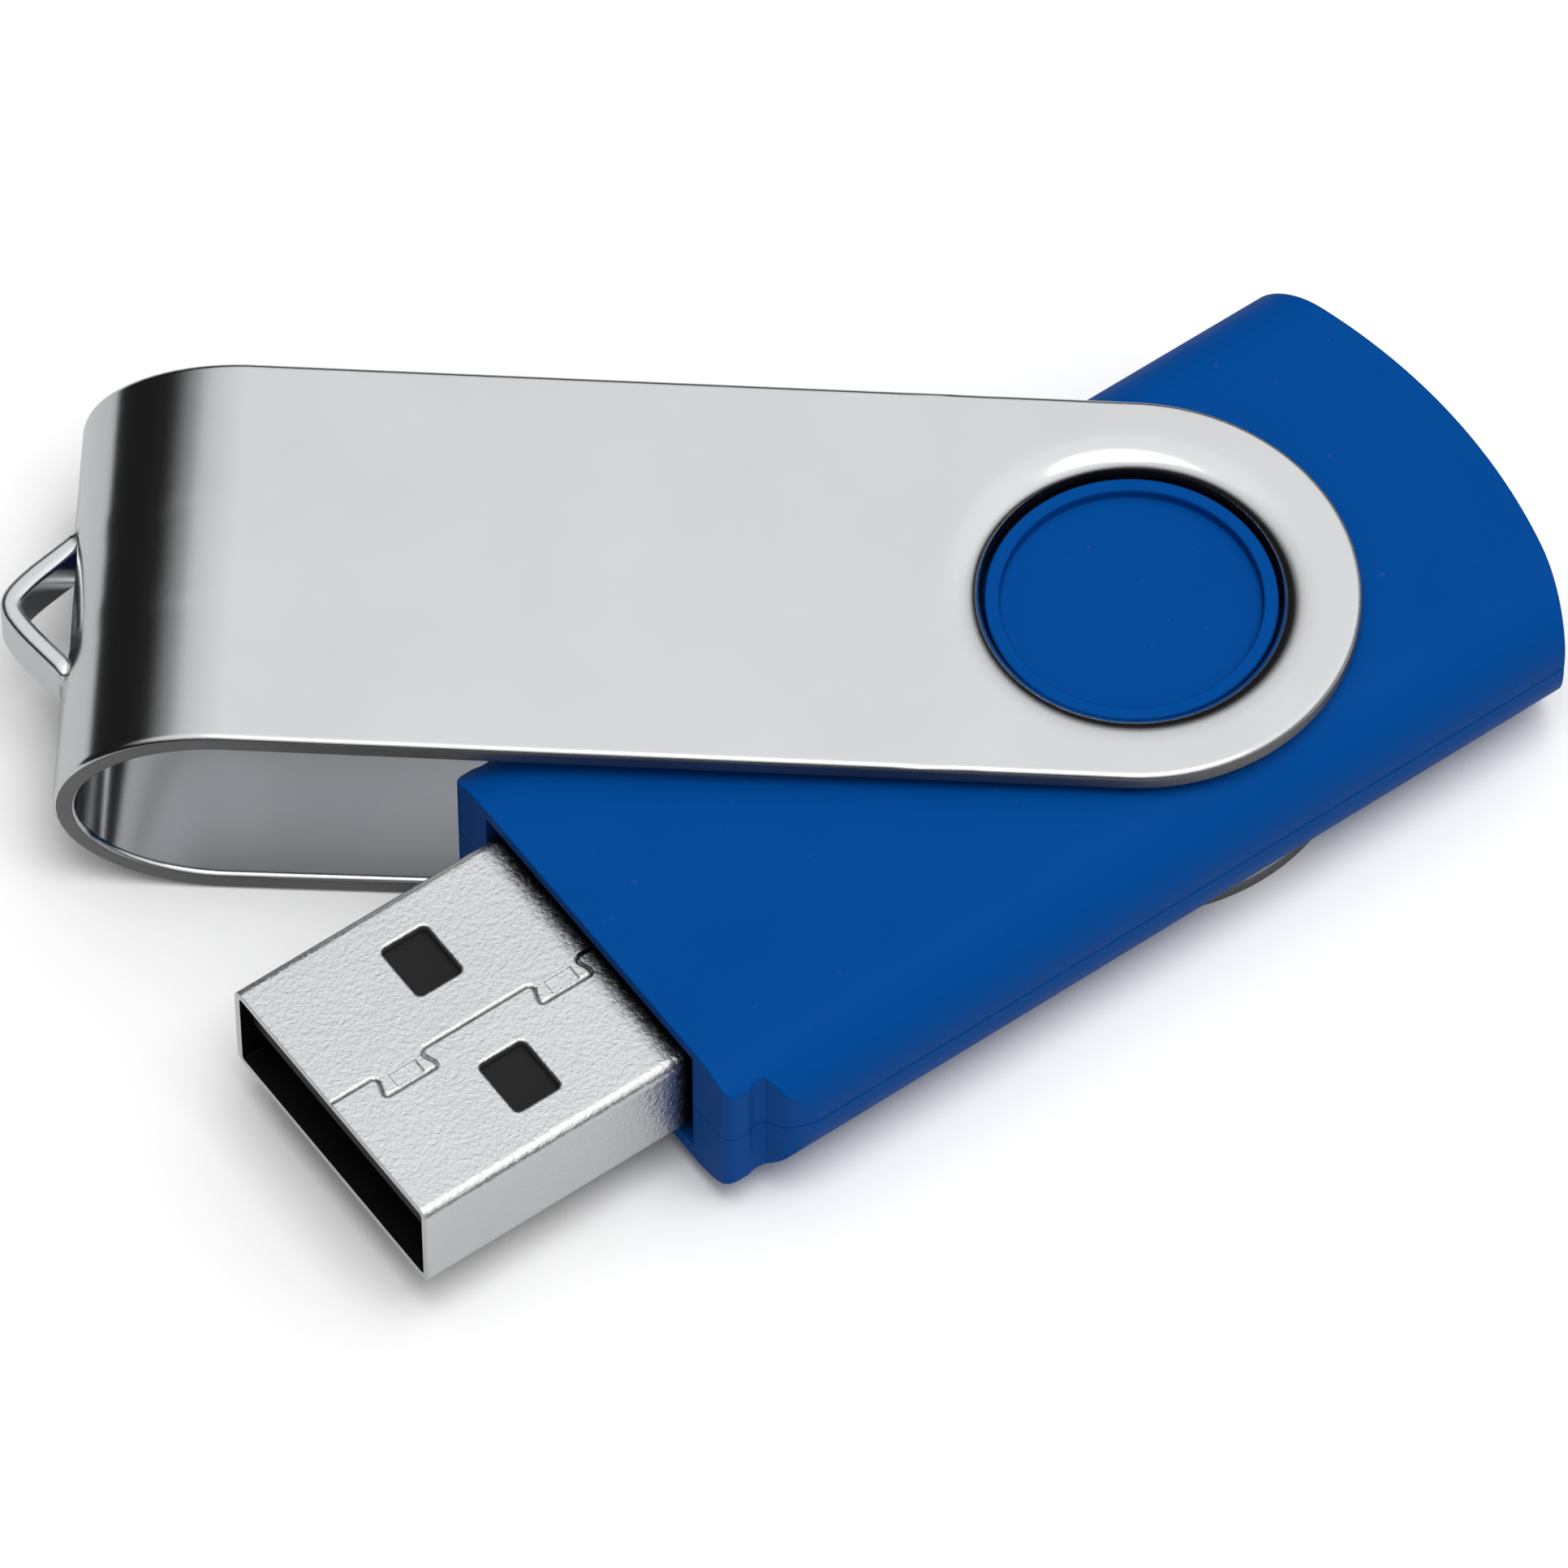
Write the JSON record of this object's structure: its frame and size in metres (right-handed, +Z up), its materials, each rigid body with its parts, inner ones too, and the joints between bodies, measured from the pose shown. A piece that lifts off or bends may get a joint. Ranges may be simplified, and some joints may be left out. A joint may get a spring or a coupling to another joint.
{
  "type": "usb flash drive",
  "caption": "Small flash drive with a bare type A plug, a two-shell plastic case and a bent steel clip that swivels about bosses on the case.",
  "frame": {"origin": "centre of the whole object's box in plan, on the plane that the clip's lower arm rests on", "axes": "+Z up along the swivel axis, -X the way the plug points"},
  "size_m": [0.0506, 0.0404, 0.0097],
  "materials": {
    "clip_steel": "satin stainless steel, finely brushed, with polished bends and edges",
    "case_blue": "royal blue moulded plastic, satin, very fine spark-eroded grain",
    "plug_steel": "nickel-plated steel with a fine pebbled skin on its wide faces",
    "insulator_black": "black glass-filled plastic",
    "contact_gold": "gold flash over nickel",
    "board_green": "green solder mask over glass-epoxy board",
    "chip_black": "black moulded epoxy",
    "crystal_can": "satin metal lid",
    "led_lens": "clear moulded lens",
    "capacitor_tan": "fired ceramic",
    "resistor_black": "black glass coat over ceramic"
  },
  "bodies": {
    "drive": {"case_top": "case_blue", "case_bottom": "case_blue", "plug_shell": "plug_steel", "plug_insulator": "insulator_black", "plug_contact_1": "contact_gold", "plug_contact_2": "contact_gold", "plug_contact_3": "contact_gold", "plug_contact_4": "contact_gold", "circuit_board": "board_green", "flash_memory": "chip_black", "controller_chip": "chip_black", "crystal": "crystal_can", "status_led": "led_lens", "capacitor_1": "capacitor_tan", "capacitor_2": "capacitor_tan", "capacitor_3": "capacitor_tan", "capacitor_4": "capacitor_tan", "capacitor_5": "capacitor_tan", "resistor_1": "resistor_black", "resistor_2": "resistor_black", "resistor_3": "resistor_black"},
    "clip": {"swivel_clip": "clip_steel"}
  },
  "joints": [
    {"name": "clip_swivel", "type": "hinge", "parent": "drive", "child": "clip", "pos_m": [0.01059, -0.01054, 0.00445], "axis": [0, 0, 1], "continuous": true}
  ]
}
